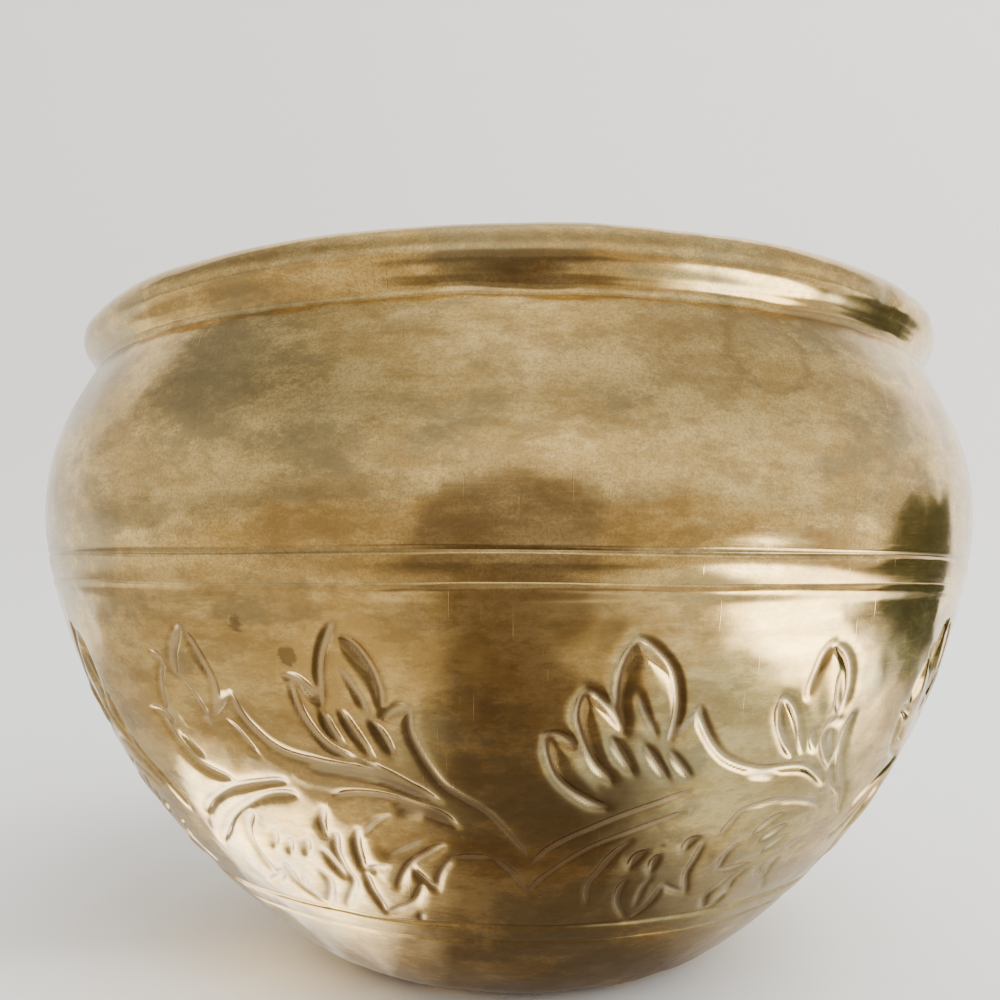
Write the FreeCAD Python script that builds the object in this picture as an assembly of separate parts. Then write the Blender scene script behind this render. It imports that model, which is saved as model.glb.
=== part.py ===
"""Round-bellied planter pot of sheet brass, 280 mm across and 188 mm high.

The body is two raised sheets. A lower bowl with a flat base ends in a lip that
is stepped inwards, and an upper shell with the shoulder and the neck slips over
that lip. A ring of braze fills the lap. The rim is the upper shell's own edge,
rolled outwards and down around an iron wire until it rests on the neck.

Origin: centre of the flat base, on the face the pot stands on. +Z is up.
Units are millimetres and degrees.
"""
import FreeCAD, Part
import math
import os

# ---- sheet ------------------------------------------------------------------
SHEET = 1.0

# ---- chased grooves: radii of the rounded shoulders and of the root ---------
GROOVE_SHOULDER = 1.3
GROOVE_ROOT = 0.35
BELT_GROOVE_TURN = 40.0
FOOT_GROOVE_TURN = 30.0

# ---- lower bowl: outer face, from the centre of the base up to the belt -----
BASE_FLAT_RADIUS = 47.0
CORNER = (37.0, 35.2)            # radius, turn
FOOT_CURVE = (141.5, 11.9)       # between the corner and the foot band
SIDE_CURVE = (166.0, 30.7)       # between the foot band and the belt
FOOT_BAND = 5.3                  # plain width between the band's two grooves

# ---- belt: the lap joint of the two sheets ----------------------------------
LAP_CLEARANCE = 0.25             # space for the braze
STEP_TURN = 75.0                 # steepness of the inward step of the lip
STEP_OUTER_RADIUS = 1.2
EDGE_GAP = 1.7                   # from the start of the step to the shell's raw edge
LAP_LENGTH = 4.6                 # shell's raw edge to the groove above it
LIP_BACKOFF = 0.9                # the lip ends this far below the groove

# ---- upper shell: outer face, from the belt to the neck ---------------------
BELLY_CURVE = (63.0, 35.5)
SHOULDER_CURVE = (205.0, 5.0)

# ---- rolled rim: radii of the face that shows -------------------------------
NECK_INSIDE_ROLL = 12.5          # straight wall hidden behind the roll
ROLL_LIP_RADIUS = 3.0            # tight turn at the mouth
ROLL_TOP_RADIUS = 8.8
ROLL_UNDER_RADIUS = 7.2
ROLL_UNDER_TURN = 64.0           # short of the neck by a hair's breadth

# ---- rim wire ---------------------------------------------------------------
WIRE_RADIUS = 3.0
WIRE_CLEARANCE = 0.2


class SheetPath:
    """The outer face of a bent sheet in section, followed move by move.

    A point is (radius, height). The other face of the sheet is to the left of
    the way the path goes. A turn to the left is positive.
    """

    def __init__(self, start, heading):
        self.point = start
        self.heading = heading
        self.spans = []

    def beside(self, offset):
        """The point at a distance to the left of where the path is now."""
        angle = math.radians(self.heading)
        radius = self.point[0] - offset * math.sin(angle)
        height = self.point[1] + offset * math.cos(angle)
        return (radius, height)

    def straight(self, length):
        start = self.point
        angle = math.radians(self.heading)
        radius = start[0] + length * math.cos(angle)
        height = start[1] + length * math.sin(angle)
        self.point = (radius, height)
        self.spans.append(("line", start, self.point, self.heading))

    def arc(self, radius, turn):
        side = math.copysign(1.0, turn)
        centre = self.beside(side * radius)
        from_angle = self.heading - 90.0 * side
        to_angle = from_angle + turn
        self.spans.append(("arc", centre, radius, from_angle, to_angle, side))
        self.heading += turn
        self.point = on_circle(centre, radius, to_angle)

    def groove(self, turn):
        """A round-shouldered groove pressed into the outer face."""
        self.arc(GROOVE_SHOULDER, turn)
        self.arc(GROOVE_ROOT, -2.0 * turn)
        self.arc(GROOVE_SHOULDER, turn)


def on_circle(centre, radius, angle):
    turn = math.radians(angle)
    return (centre[0] + radius * math.cos(turn), centre[1] + radius * math.sin(turn))


def vector(point):
    return FreeCAD.Vector(point[0], 0.0, point[1])


def span_edge(span, offset):
    """One span of a path, moved to the left by the offset, and its two ends."""
    if span[0] == "line":
        _, start, end, heading = span
        angle = math.radians(heading)
        shift = (-offset * math.sin(angle), offset * math.cos(angle))
        ends = [vector((p[0] + shift[0], p[1] + shift[1])) for p in (start, end)]
        return Part.LineSegment(ends[0], ends[1]).toShape(), ends[0], ends[1]
    _, centre, radius, from_angle, to_angle, side = span
    shifted = radius - side * offset
    middle_angle = 0.5 * (from_angle + to_angle)
    start, middle, end = (
        vector(on_circle(centre, shifted, angle))
        for angle in (from_angle, middle_angle, to_angle)
    )
    return Part.Arc(start, middle, end).toShape(), start, end


def revolve_between(spans, near, far):
    """The solid of revolution between two offsets of the same path."""
    near_side = [span_edge(span, near) for span in spans]
    far_side = [span_edge(span, far) for span in spans]
    start_cap = Part.LineSegment(far_side[0][1], near_side[0][1]).toShape()
    end_cap = Part.LineSegment(near_side[-1][2], far_side[-1][2]).toShape()
    edges = [start_cap] + [item[0] for item in near_side]
    edges += [end_cap] + [item[0] for item in reversed(far_side)]
    face = Part.Face(Part.Wire(edges))
    solid = face.revolve(FreeCAD.Vector(0, 0, 0), FreeCAD.Vector(0, 0, 1), 360.0)
    return solid


def bowl_wall():
    """Path of the lower bowl's outer face from the base centre to the belt."""
    path = SheetPath((0.0, 0.0), 0.0)
    path.straight(BASE_FLAT_RADIUS)
    path.arc(*CORNER)
    path.arc(*FOOT_CURVE)
    path.groove(FOOT_GROOVE_TURN)
    path.straight(FOOT_BAND)
    path.groove(FOOT_GROOVE_TURN)
    path.arc(*SIDE_CURVE)
    return path


def lower_bowl():
    """Flat base, foot band, swelling sides, and the lip stepped inwards."""
    path = bowl_wall()
    step_depth = SHEET + LAP_CLEARANCE
    step_radii = step_depth / (1.0 - math.cos(math.radians(STEP_TURN)))
    step_length = step_radii * math.sin(math.radians(STEP_TURN))
    path.arc(STEP_OUTER_RADIUS, STEP_TURN)
    path.arc(step_radii - STEP_OUTER_RADIUS, -STEP_TURN)
    path.straight(EDGE_GAP + LAP_LENGTH - LIP_BACKOFF - step_length)
    return revolve_between(path.spans, 0.0, SHEET)


def shell_start():
    """Path that starts at the upper shell's raw edge, just above the step."""
    wall = bowl_wall()
    wall.straight(EDGE_GAP)
    return SheetPath(wall.point, wall.heading)


def shell_path():
    """Path of the upper shell's outer face, on through the inside of the roll."""
    path = shell_start()
    path.straight(LAP_LENGTH)
    path.groove(BELT_GROOVE_TURN)
    path.arc(*BELLY_CURVE)
    path.arc(*SHOULDER_CURVE)
    path.straight(NECK_INSIDE_ROLL)
    path.arc(ROLL_LIP_RADIUS - SHEET, -path.heading)
    path.arc(ROLL_TOP_RADIUS - SHEET, -90.0)
    path.arc(ROLL_UNDER_RADIUS - SHEET, -ROLL_UNDER_TURN)
    return path


def upper_shell():
    """Lap, groove, belly, shoulder and neck, with the edge rolled into the rim."""
    return revolve_between(shell_path().spans, 0.0, SHEET)


def seam_braze():
    """Ring of braze that fills the lap between the shell and the bowl's lip."""
    path = shell_start()
    path.straight(LAP_LENGTH - LIP_BACKOFF)
    return revolve_between(path.spans, SHEET, SHEET + LAP_CLEARANCE)


def rim_wire():
    """Iron ring held against the outermost part of the roll."""
    roll_under = shell_path().spans[-1]
    centre, inside_radius = roll_under[1], roll_under[2]
    ring_radius = centre[0] + inside_radius - WIRE_CLEARANCE - WIRE_RADIUS
    return Part.makeTorus(ring_radius, WIRE_RADIUS, FreeCAD.Vector(0, 0, centre[1]))


PIECES = {
    "lower_bowl": lower_bowl,
    "upper_shell": upper_shell,
    "seam_braze": seam_braze,
    "rim_wire": rim_wire,
}

os.makedirs("parts", exist_ok=True)
for name, make in PIECES.items():
    shape = make()
    shape.exportStep(os.path.join("parts", name + ".step"))
    box = shape.optimalBoundingBox()
    print(f"{name}: valid {shape.isValid()}, {shape.ShapeType}, {shape.Volume / 1000.0:.1f} cm3,",
          f"radius {box.XMax:.2f}, height {box.ZMin:.2f} to {box.ZMax:.2f}")
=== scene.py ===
"""Looks for the brass planter pot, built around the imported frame.

The lower bowl and the upper shell are each replaced by a detailed mesh that
follows the same bent-sheet section as the CAD. The bowl carries the chased leaf
frieze as real relief. The braze ring and the rim wire keep their CAD meshes.

Sections are in millimetres and degrees and become metres in the meshes.
Azimuth 0 faces the camera (-Y) and grows towards +X.
"""
import math

import bpy
import numpy as np
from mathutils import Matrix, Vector


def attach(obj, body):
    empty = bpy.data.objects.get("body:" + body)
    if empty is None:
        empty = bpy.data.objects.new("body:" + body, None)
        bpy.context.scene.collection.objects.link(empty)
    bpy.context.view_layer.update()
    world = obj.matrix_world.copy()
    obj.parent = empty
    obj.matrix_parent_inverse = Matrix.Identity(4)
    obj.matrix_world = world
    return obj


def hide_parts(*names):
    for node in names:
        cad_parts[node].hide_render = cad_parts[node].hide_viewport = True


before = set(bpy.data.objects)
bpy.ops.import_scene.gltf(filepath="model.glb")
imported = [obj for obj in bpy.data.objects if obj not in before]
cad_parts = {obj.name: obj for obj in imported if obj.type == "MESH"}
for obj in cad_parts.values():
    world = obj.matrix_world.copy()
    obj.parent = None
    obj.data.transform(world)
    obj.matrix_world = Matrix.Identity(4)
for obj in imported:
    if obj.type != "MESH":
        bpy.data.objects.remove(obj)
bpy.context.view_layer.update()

MM = 0.001
SHEET = 1.0
SHOULDER_RADIUS = 1.3        # the rounded edges of a chased groove
ROOT_RADIUS = 0.35

# ---- bent-sheet sections: each move is (length, turn), turns to the left 


def straight(length):
    return [(length, 0.0)]


def arc(radius, turn):
    return [(radius * math.radians(abs(turn)), turn)]


def groove(turn):
    """A groove pressed in between two rounded shoulders."""
    shoulder = arc(SHOULDER_RADIUS, turn)
    return shoulder + arc(ROOT_RADIUS, -2.0 * turn) + shoulder


BASE = straight(47.0)
FOOT = arc(37.0, 35.2) + arc(141.5, 11.9)
FOOT_BAND = groove(30.0) + straight(5.3) + groove(30.0)
SIDE = arc(166.0, 30.7)
BOWL_WALL = BASE + FOOT + FOOT_BAND + SIDE
STEP_DEPTH = 1.25            # the sheet and the braze beside it
STEP_TURN = 75.0
STEP_RADIUS = 0.9
STEP_RADII = STEP_DEPTH / (1.0 - math.cos(math.radians(STEP_TURN)))
STEP_LENGTH = STEP_RADII * math.sin(math.radians(STEP_TURN))
BOWL_LIP = (
    straight(0.4) + arc(STEP_RADIUS, STEP_TURN) + arc(STEP_RADII - STEP_RADIUS, -STEP_TURN)
    + straight(5.0 - STEP_LENGTH)
)
EDGE_GAP = 1.05              # from the step to the upper shell's edge
BELT = straight(5.25) + groove(40.0)
BELLY = arc(63.0, 35.5) + arc(205.0, 5.0)
NECK = straight(11.75)
NECK_HEADING = 118.3         # leans inwards past the upright


class Section:
    """The outer face of a sheet in section, met at any length along it."""

    def __init__(self, start, heading, moves):
        self.rows = []
        radius, height = start
        along = 0.0
        angle = math.radians(heading)
        for length, turn in moves:
            bend = math.radians(turn) / length
            self.rows.append((along, radius, height, angle, bend))
            chord = length * np.sinc(bend * length / (2.0 * math.pi))
            middle = angle + 0.5 * bend * length
            radius += chord * math.cos(middle)
            height += chord * math.sin(middle)
            angle += bend * length
            along += length
        self.length = along
        self.end = (radius, height)
        self.end_heading = math.degrees(angle)

    def at(self, along):
        """Radius, height and heading (radians) at lengths along the section."""
        table = np.array(self.rows)
        span = np.clip(np.searchsorted(table[:, 0], along, side="right") - 1, 0, None)
        start, radius, height, angle, bend = table[span].T
        reach = along - start
        chord = reach * np.sinc(bend * reach / (2.0 * math.pi))
        middle = angle + 0.5 * bend * reach
        return (
            radius + chord * np.cos(middle),
            height + chord * np.sin(middle),
            angle + bend * reach,
        )


def length_of(moves):
    return sum(move[0] for move in moves)


# ---- the chased leaf frieze ------------------------------
# Each stroke is a smooth line through (azimuth, millimetres below the belt).
# The drawing covers azimuth -43 to 47 and is repeated four times round the bowl.
# A cut is a sharp line in a wide soft valley: depth and half width of the line, then
# of the valley to its left and to its right, and how the ends run out.
CUTS = {
    "line": ((0.75, 1.1), (0.80, 3.4, 3.4), "taper"),
    "thin": ((0.75, 0.9), (0.30, 2.2, 2.2), "taper"),
    "fine": ((0.60, 0.9), (0.35, 2.2, 2.2), "taper"),
    "lobe": ((0.40, 1.0), (1.20, 3.4, 1.4), "lens"),
    "soft": ((0.00, 1.0), (0.50, 2.8, 2.8), "taper"),
}
# A raised place: height, half width, and how the ends run out.
RAISED = {
    "body": (0.55, 4.6, "lens"),
    "strap": (0.25, 3.6, "taper"),
}
STROKE_REACH = 5.0           # past the half width of the widest stroke
RUN_OUT = 4.0                # a tapering stroke narrows over this length at each end
SLIP = (0.35, 0.45)          # how far a repeated stroke strays: degrees round, mm down

FRIEZE = [
    # leaf spray at azimuth -33
    ("line", (-31.9, 9.2), (-33.5, 12), (-34.6, 17), (-34.9, 20.5)),
    ("fine", (-32.2, 10.5), (-33.4, 14), (-34.2, 18), (-34.6, 22)),
    ("line", (-31.5, 10.5), (-30.8, 14.5), (-30, 19), (-29.6, 23), (-30.3, 28.5), (-31, 30.5)),
    ("fine", (-33.6, 22), (-32.8, 25), (-31.6, 31.5)),
    ("line", (-37.8, 16.5), (-36.6, 17.2), (-35.9, 19.5)),
    ("line", (-36.4, 18.8), (-37.2, 22), (-38, 26), (-38.3, 30)),
    ("line", (-41, 31.3), (-39.6, 31.8), (-38, 33.3)),
    ("line", (-39.9, 32), (-38.8, 38), (-37.3, 42.3), (-35.6, 45.3), (-31.5, 47.9)),
    ("lobe", (-37.2, 36), (-36.4, 39.3), (-34.6, 42)),
    ("soft", (-32.5, 31), (-31.5, 33)),
    ("line", (-30.7, 30), (-29.5, 27.3), (-28, 24.9)),
    ("lobe", (-29.2, 31), (-28.4, 33), (-27.2, 37), (-26.2, 39.5)),
    ("body", (-32.2, 12), (-32.2, 18), (-31.8, 28)),
    ("body", (-37, 20), (-36.6, 26), (-35.5, 33)),
    # the two straps that run down to the point at azimuth 2
    ("line", (-27.6, 24.3), (-27.4, 28.5), (-26.2, 32.8), (-24.2, 37.2), (-21.5, 39.4),
     (-14.5, 41.3), (-10.5, 44.5), (-7.4, 48.5)),
    ("line", (-20.5, 41.5), (-17, 42), (-13, 43.3), (-10, 46.2), (-7.6, 48.4)),
    ("line", (-18.5, 48.7), (-16, 47.6), (-13, 47.6), (-10, 49.5), (-7.5, 52), (-5.9, 55.3)),
    ("fine", (-12, 50), (-9.5, 51.5), (-7.5, 53.5), (-6.1, 55.2)),
    ("fine", (-11.7, 52.3), (-10, 52.3), (-9, 51.8)),
    ("strap", (-22, 44), (-16, 45), (-11, 47.3), (-7, 52)),
    # leaf spray at azimuth -15
    ("line", (-15.1, 7.5), (-16.4, 12.5), (-17.1, 18), (-17.5, 26)),
    ("line", (-17.5, 27.5), (-17, 32), (-16, 35.5)),
    ("line", (-14.4, 10.5), (-13.2, 13), (-12.1, 17.5), (-11.6, 22), (-11.6, 25.8)),
    ("fine", (-15, 16.5), (-14.3, 19.5), (-12.9, 27.3)),
    ("lobe", (-13, 27.8), (-12, 32), (-10.8, 38)),
    ("line", (-15.7, 27), (-14.9, 31.5), (-13.9, 35.5)),
    ("lobe", (-15.5, 26.5), (-14.8, 31), (-12.8, 40)),
    ("line", (-20.9, 19.3), (-19.6, 20.3), (-18.4, 22.5), (-17.6, 24.5)),
    ("line", (-20.3, 20.6), (-20, 26), (-19.2, 31), (-17.8, 35.5), (-15.3, 38.9)),
    ("lobe", (-15.8, 36.8), (-13.5, 40), (-11.5, 42.5), (-7.4, 48.5)),
    ("line", (-11.8, 28.2), (-10.6, 26.5), (-9.2, 25.3)),
    ("thin", (-8.8, 25.2), (-9.2, 30), (-8.7, 35), (-6.9, 43.3), (-5, 47), (-2.3, 51.5),
     (0.8, 60.5), (1.7, 64.5)),
    ("body", (-14.8, 9.5), (-14.6, 16), (-14.2, 26)),
    ("body", (-19.5, 22), (-18.7, 28), (-17.2, 35)),
    # the M-shaped tie under the straps
    ("thin", (-9.4, 77), (-8.9, 72.5), (-8, 68.5), (-6.8, 65)),
    ("thin", (-7.2, 64.8), (-5, 64.3), (-2.2, 64.3)),
    ("thin", (-2.2, 64.3), (-1, 67), (0.2, 70), (1.6, 75.6)),
    ("thin", (2, 66.8), (3.5, 62.5), (6, 58.5), (9, 55), (12.5, 51.5), (18.5, 46.3)),
    ("thin", (2, 76), (3, 72), (5.5, 66.5), (9, 60.8), (13, 56.8), (18.4, 52.2)),
    ("strap", (3, 69.5), (5.5, 63), (9.5, 57.5), (17, 50.3)),
    # leaf spray at azimuth 11
    ("line", (11.1, 11), (10.2, 14.5), (9.7, 19), (9.7, 24.5), (10.5, 31)),
    ("line", (11, 10.3), (12.9, 13), (14.6, 17.5), (15.4, 24), (15.4, 30), (15, 33)),
    ("fine", (11.5, 22), (12.2, 26), (13.7, 32.3)),
    ("line", (6.8, 21.2), (6.3, 24.5), (6.3, 29), (7.9, 38), (9.9, 42.8)),
    ("line", (6.8, 21.1), (8, 23.2), (9.2, 26), (10.4, 30.2)),
    ("line", (3.3, 31.6), (3.5, 36), (4.3, 41), (5.6, 44.6), (8, 48.6), (9.9, 50.1)),
    ("line", (3.2, 31.1), (4.8, 32), (6.2, 34.4)),
    ("lobe", (9, 31), (10.6, 36.3), (12.2, 41.7)),
    ("lobe", (12.3, 33), (14.2, 38.5), (16, 43.7)),
    ("lobe", (14.9, 34.7), (16.6, 39), (18.5, 43.4)),
    ("soft", (15.3, 33), (16.4, 30), (17.4, 27.2)),
    ("line", (17.6, 25.4), (18.2, 29), (19.6, 34), (21.5, 38.2), (24, 41), (27, 42.6),
     (31, 42.7), (33, 43.3), (35, 45.3), (37.3, 48.6)),
    ("fine", (25, 43.8), (29, 44.8)),
    ("body", (11.4, 12), (12.2, 19), (13, 30)),
    ("body", (7.2, 23), (7.8, 30), (9.5, 39)),
    ("body", (4.3, 33.5), (5.5, 40), (8.5, 47)),
    # leaf spray at azimuth 33
    ("line", (31.9, 11.8), (31, 15), (30.3, 20), (29.9, 24.5)),
    ("line", (32.3, 13), (34.2, 15.3), (35.5, 19.5), (36, 25), (35.6, 30)),
    ("fine", (33.5, 19.5), (34, 24), (35.3, 30)),
    ("line", (26.8, 24.3), (27, 29), (27.9, 33.5), (30.5, 40)),
    ("line", (26.8, 24), (28.4, 26.8), (29.6, 30.5), (31.5, 38.5)),
    ("lobe", (31.9, 32.2), (32.7, 36), (33.6, 39.3)),
    ("line", (35.8, 31), (34.6, 32.5), (34.2, 34.5), (34.5, 37.5), (37.2, 44.5)),
    ("fine", (35, 33.5), (35.3, 36), (36.5, 41)),
    ("line", (38, 30.5), (37.6, 35), (37.6, 40), (37.4, 44.5)),
    ("line", (38.2, 30.5), (38, 35), (38.6, 41.5), (40.5, 47.5), (43.3, 53), (45.6, 60)),
    ("line", (37.5, 45), (39.5, 50), (42, 53.5)),
    ("body", (32.2, 13.5), (32.8, 20), (33, 30)),
    ("body", (27.5, 26), (28.3, 31), (30.3, 37)),
    # flower under the spray at azimuth -33
    ("line", (-40.7, 60), (-38, 56), (-34, 51.5), (-31, 49.2), (-24.2, 45.9)),
    ("line", (-41.3, 69.8), (-38.5, 65.3), (-35, 59.3), (-31, 54.3), (-27.5, 51), (-23.4, 49.3)),
    ("strap", (-41, 65), (-37.5, 60.5), (-33.5, 54), (-28, 49.5)),
    ("line", (-31.2, 57.3), (-33, 61), (-34, 66), (-34.2, 72), (-34.3, 79)),
    ("lobe", (-28.4, 60.5), (-29.4, 64.5), (-30.8, 68.5)),
    ("lobe", (-26.5, 63), (-27.5, 66), (-28.5, 69.8)),
    ("lobe", (-24, 62), (-25, 66), (-26, 69)),
    ("line", (-36.2, 82.7), (-34.2, 80.7), (-31.8, 76.5)),
    ("line", (-30.3, 73.5), (-30.8, 78), (-30.7, 82), (-27.9, 88.5)),
    ("line", (-24.8, 73.5), (-24.6, 78), (-25.5, 82.5), (-27.5, 88.3)),
    ("fine", (-27.2, 74.5), (-28.1, 77.5), (-28.7, 80.2)),
    ("line", (-22.7, 66), (-22.3, 71), (-21.5, 75.3)),
    ("line", (-20.3, 52.5), (-21.4, 57), (-21.6, 61)),
    ("line", (-20, 60), (-21, 66), (-21, 72), (-20.6, 77), (-22.5, 83), (-24, 87)),
    ("body", (-27.5, 73), (-27.8, 79), (-27.8, 86)),
    ("body", (-30, 58), (-32.3, 65), (-32.6, 74)),
    # flower under the spray at azimuth -15
    ("line", (-17, 58), (-17.8, 62), (-18.2, 67), (-18.3, 71)),
    ("line", (-18, 72), (-16.3, 70.3), (-15, 69)),
    ("line", (-18.2, 72.5), (-18.4, 78), (-17.8, 86.5)),
    ("fine", (-12.8, 52.8), (-14.5, 55), (-17, 60)),
    ("soft", (-9.6, 59.3), (-12, 62.8), (-14, 65)),
    ("line", (-7.6, 61), (-9.8, 64.5), (-12, 68.5), (-14.5, 76.5)),
    ("line", (-11.7, 69.5), (-11, 73), (-9.6, 76.2)),
    ("line", (-11.2, 75), (-12, 79), (-13.5, 83), (-17.7, 87.8)),
    ("fine", (-12.4, 85.5), (-13, 89)),
    ("body", (-15.5, 60), (-16, 66), (-15.5, 74)),
    # flower under the spray at azimuth 11
    ("thin", (13, 59.6), (11.3, 63.5), (10, 68.5), (9, 74), (9.3, 81.5)),
    ("lobe", (15.5, 62.5), (14.2, 65.5), (13.6, 69.5)),
    ("lobe", (16.9, 64), (16.6, 68), (16.5, 71)),
    ("fine", (16.8, 72), (16, 76), (15.9, 82.3)),
    ("thin", (13.6, 72.5), (13.2, 77), (13.6, 82), (15.7, 89.2)),
    ("thin", (15.9, 89.2), (17.6, 85), (18.6, 80), (18.8, 76)),
    ("thin", (18.8, 75), (20.3, 77.5), (22.7, 80)),
    ("lobe", (21.8, 60), (20.6, 61.5), (19.6, 65)),
    ("thin", (22.2, 62), (21.9, 68), (21.7, 73), (23.2, 80.5)),
    ("body", (16.2, 73), (15.8, 80), (15.8, 87)),
    ("body", (12, 63), (11.2, 70), (11, 78)),
    # flower under the spray at azimuth 33
    ("thin", (24, 60.5), (25.3, 56), (26.3, 53.3), (31.5, 51.2)),
    ("thin", (30.5, 52), (34, 52.8), (37, 54.3), (39.7, 57)),
    ("lobe", (33.2, 55.7), (31, 58.8), (28.8, 62.5)),
    ("lobe", (34.9, 60), (32.8, 62.4), (30.5, 65.3)),
    ("lobe", (36.2, 63.5), (34, 66.5), (32.2, 69.3)),
    ("thin", (27.6, 64), (26.5, 67.5), (26.3, 72.5)),
    ("thin", (26.3, 73), (28.5, 73.2), (30.8, 72)),
    ("thin", (29.8, 75.5), (27.8, 79), (26.8, 83), (28.2, 88.8)),
    ("thin", (28.2, 88.8), (29.8, 87), (30.5, 83.5)),
    ("thin", (31.5, 74), (30.3, 78), (30.5, 82)),
    ("thin", (33.8, 74), (34.5, 77), (36.5, 80), (38.5, 84)),
    ("thin", (36.8, 72), (36.3, 75.5), (36.8, 79)),
    ("fine", (39.5, 68), (37.8, 69.3)),
    ("body", (28.5, 77), (28, 82), (28.3, 87)),
    ("body", (26, 57), (25.3, 62), (24.6, 69)),
]


def smooth_line(points, steps=6):
    """Points along a Catmull-Rom curve through the given points."""
    knots = np.array(points, float)
    padded = np.vstack([2 * knots[0] - knots[1], knots, 2 * knots[-1] - knots[-2]])
    t = np.linspace(0.0, 1.0, steps, endpoint=False)[:, None]
    pieces = []
    for before, start, end, after in zip(padded, padded[1:], padded[2:], padded[3:]):
        pieces.append(
            0.5 * (2 * start + (end - before) * t
                   + (2 * before - 5 * start + 4 * end - after) * t ** 2
                   + (3 * start - before - 3 * end + after) * t ** 3)
        )
    return np.vstack(pieces + [knots[-1:]])


def nearest_on_line(x, y, line):
    """Distance to a polyline, whether to its left, and how far along it is nearest."""
    starts, steps = line[:-1], np.diff(line, axis=0)
    lengths = np.hypot(steps[:, 0], steps[:, 1])
    passed = np.concatenate([[0.0], np.cumsum(lengths)])
    best = np.full(x.shape, np.inf)
    along = np.zeros(x.shape)
    left = np.zeros(x.shape, bool)
    for start, step, length, before in zip(starts, steps, lengths, passed):
        across, down = x - start[0], y - start[1]
        share = np.clip((across * step[0] + down * step[1]) / length ** 2, 0.0, 1.0)
        gap = np.hypot(across - share * step[0], down - share * step[1])
        closer = gap < best
        best[closer] = gap[closer]
        along[closer] = (before + share * length)[closer]
        left[closer] = (step[0] * down > step[1] * across)[closer]
    return best, left, along, passed[-1]


def stroke_width(along, total, ends):
    """Share of the full width that a stroke has at each place along it."""
    if ends == "lens":
        return np.sin(np.pi * np.clip(along / total, 0.04, 0.96)) ** 0.6
    run_out = min(RUN_OUT, 0.4 * total)
    reach = np.clip(np.minimum(along, total - along) / run_out, 0.0, 1.0)
    return 0.6 + 0.4 * np.sin(0.5 * np.pi * reach)


def softened(grid):
    """The grid with each value shared a little with its neighbours."""
    grid = 0.5 * grid + 0.25 * (np.roll(grid, 1, axis=1) + np.roll(grid, -1, axis=1))
    higher = np.vstack([grid[:1], grid[:-1]])
    lower = np.vstack([grid[1:], grid[-1:]])
    return 0.5 * grid + 0.25 * (higher + lower)


class Frieze:
    """The relief on a grid of azimuths and depths below the belt."""

    def __init__(self, azimuths, below, radii):
        self.azimuths = azimuths
        self.below = below
        self.radii = radii
        self.cut, self.raised, self.line = np.zeros((3, len(below), len(azimuths)))

    def window(self, line, reach):
        """Rows, columns and millimetre coordinates of the grid near a line."""
        middle = 0.5 * (line[:, 0].min() + line[:, 0].max())
        radius = np.interp(line[:, 1], self.below[::-1], self.radii[::-1])
        half = 0.5 * np.ptp(line[:, 0]) + math.degrees(reach / radius.min())
        turn = (self.azimuths - middle + 180.0) % 360.0 - 180.0
        columns = np.nonzero(np.abs(turn) < half)[0]
        near = (self.below > line[:, 1].min() - reach) & (self.below < line[:, 1].max() + reach)
        rows = np.nonzero(near)[0]
        x = np.radians(turn[columns])[None, :] * self.radii[rows][:, None]
        y = np.repeat(self.below[rows][:, None], len(columns), axis=1)
        flat = np.column_stack([np.radians(line[:, 0] - middle) * radius, line[:, 1]])
        return np.ix_(rows, columns), x, y, flat

    def add(self, kind, points):
        line = smooth_line(points)
        cells, x, y, flat = self.window(line, STROKE_REACH)
        gap, left, along, total = nearest_on_line(x, y, flat)
        if kind in RAISED:
            height, half_width, ends = RAISED[kind]
            share = stroke_width(along, total, ends)
            near = np.clip(1.0 - gap / (half_width * share), 0.0, 1.0)
            rise = height * share * (0.5 - 0.5 * np.cos(np.pi * near))
            self.raised[cells] = np.maximum(self.raised[cells], rise)
            return
        (line_depth, line_width), (depth, left_width, right_width), ends = CUTS[kind]
        share = stroke_width(along, total, ends)
        in_line = np.clip(1.0 - (gap / (line_width * share)) ** 2, 0.0, 1.0) ** 1.5
        width = np.where(left, left_width, right_width) * share
        in_valley = np.clip(1.0 - gap / width, 0.0, 1.0)
        cut = share * (line_depth * in_line + depth * in_valley ** 1.8)
        self.cut[cells] = np.maximum(self.cut[cells], cut)
        self.line[cells] = np.maximum(self.line[cells], share * in_line)

    def relief(self):
        """Height of the outer face in millimetres; pressed in is negative."""
        return self.raised - self.cut


def chased_frieze(azimuths, below, radii):
    """The drawing, repeated round the bowl as a hand repeats it."""
    hand = np.random.default_rng(41)
    frieze = Frieze(azimuths, below, radii)
    for quarter in range(4):
        wobble = 0.0 if quarter == 0 else 1.0
        for kind, *points in FRIEZE:
            slip = hand.normal(0.0, 1.0, 2) * SLIP * wobble
            moved = [(az + 90.0 * quarter + slip[0], t + slip[1]) for az, t in points]
            frieze.add(kind, moved)
    frieze.cut = softened(softened(frieze.cut))
    frieze.raised = softened(frieze.raised)
    frieze.line = softened(frieze.line)
    return frieze


# ---- hand-raised unevenness ------------------------------
MEAN_RADIUS = 125.0


def ripples(azimuths, along, seed, count, wavelengths, height):
    """Soft random swells round the pot, from zero down to about -height."""
    draw = np.random.default_rng(seed)
    total = np.zeros((len(along), len(azimuths)))
    angle = np.radians(azimuths)
    for _ in range(count):
        wavelength = draw.uniform(*wavelengths)
        slant = draw.uniform(0.0, math.pi)
        around = round(math.cos(slant) * 2.0 * math.pi * MEAN_RADIUS / wavelength)
        down = math.sin(slant) * 2.0 * math.pi / wavelength
        phase = draw.uniform(0.0, 2.0 * math.pi)
        total += np.cos(around * angle[None, :] + down * along[:, None] + phase)
    total /= math.sqrt(0.5 * count)
    return height * (np.tanh(0.7 * total) - 1.0) * 0.5


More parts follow.
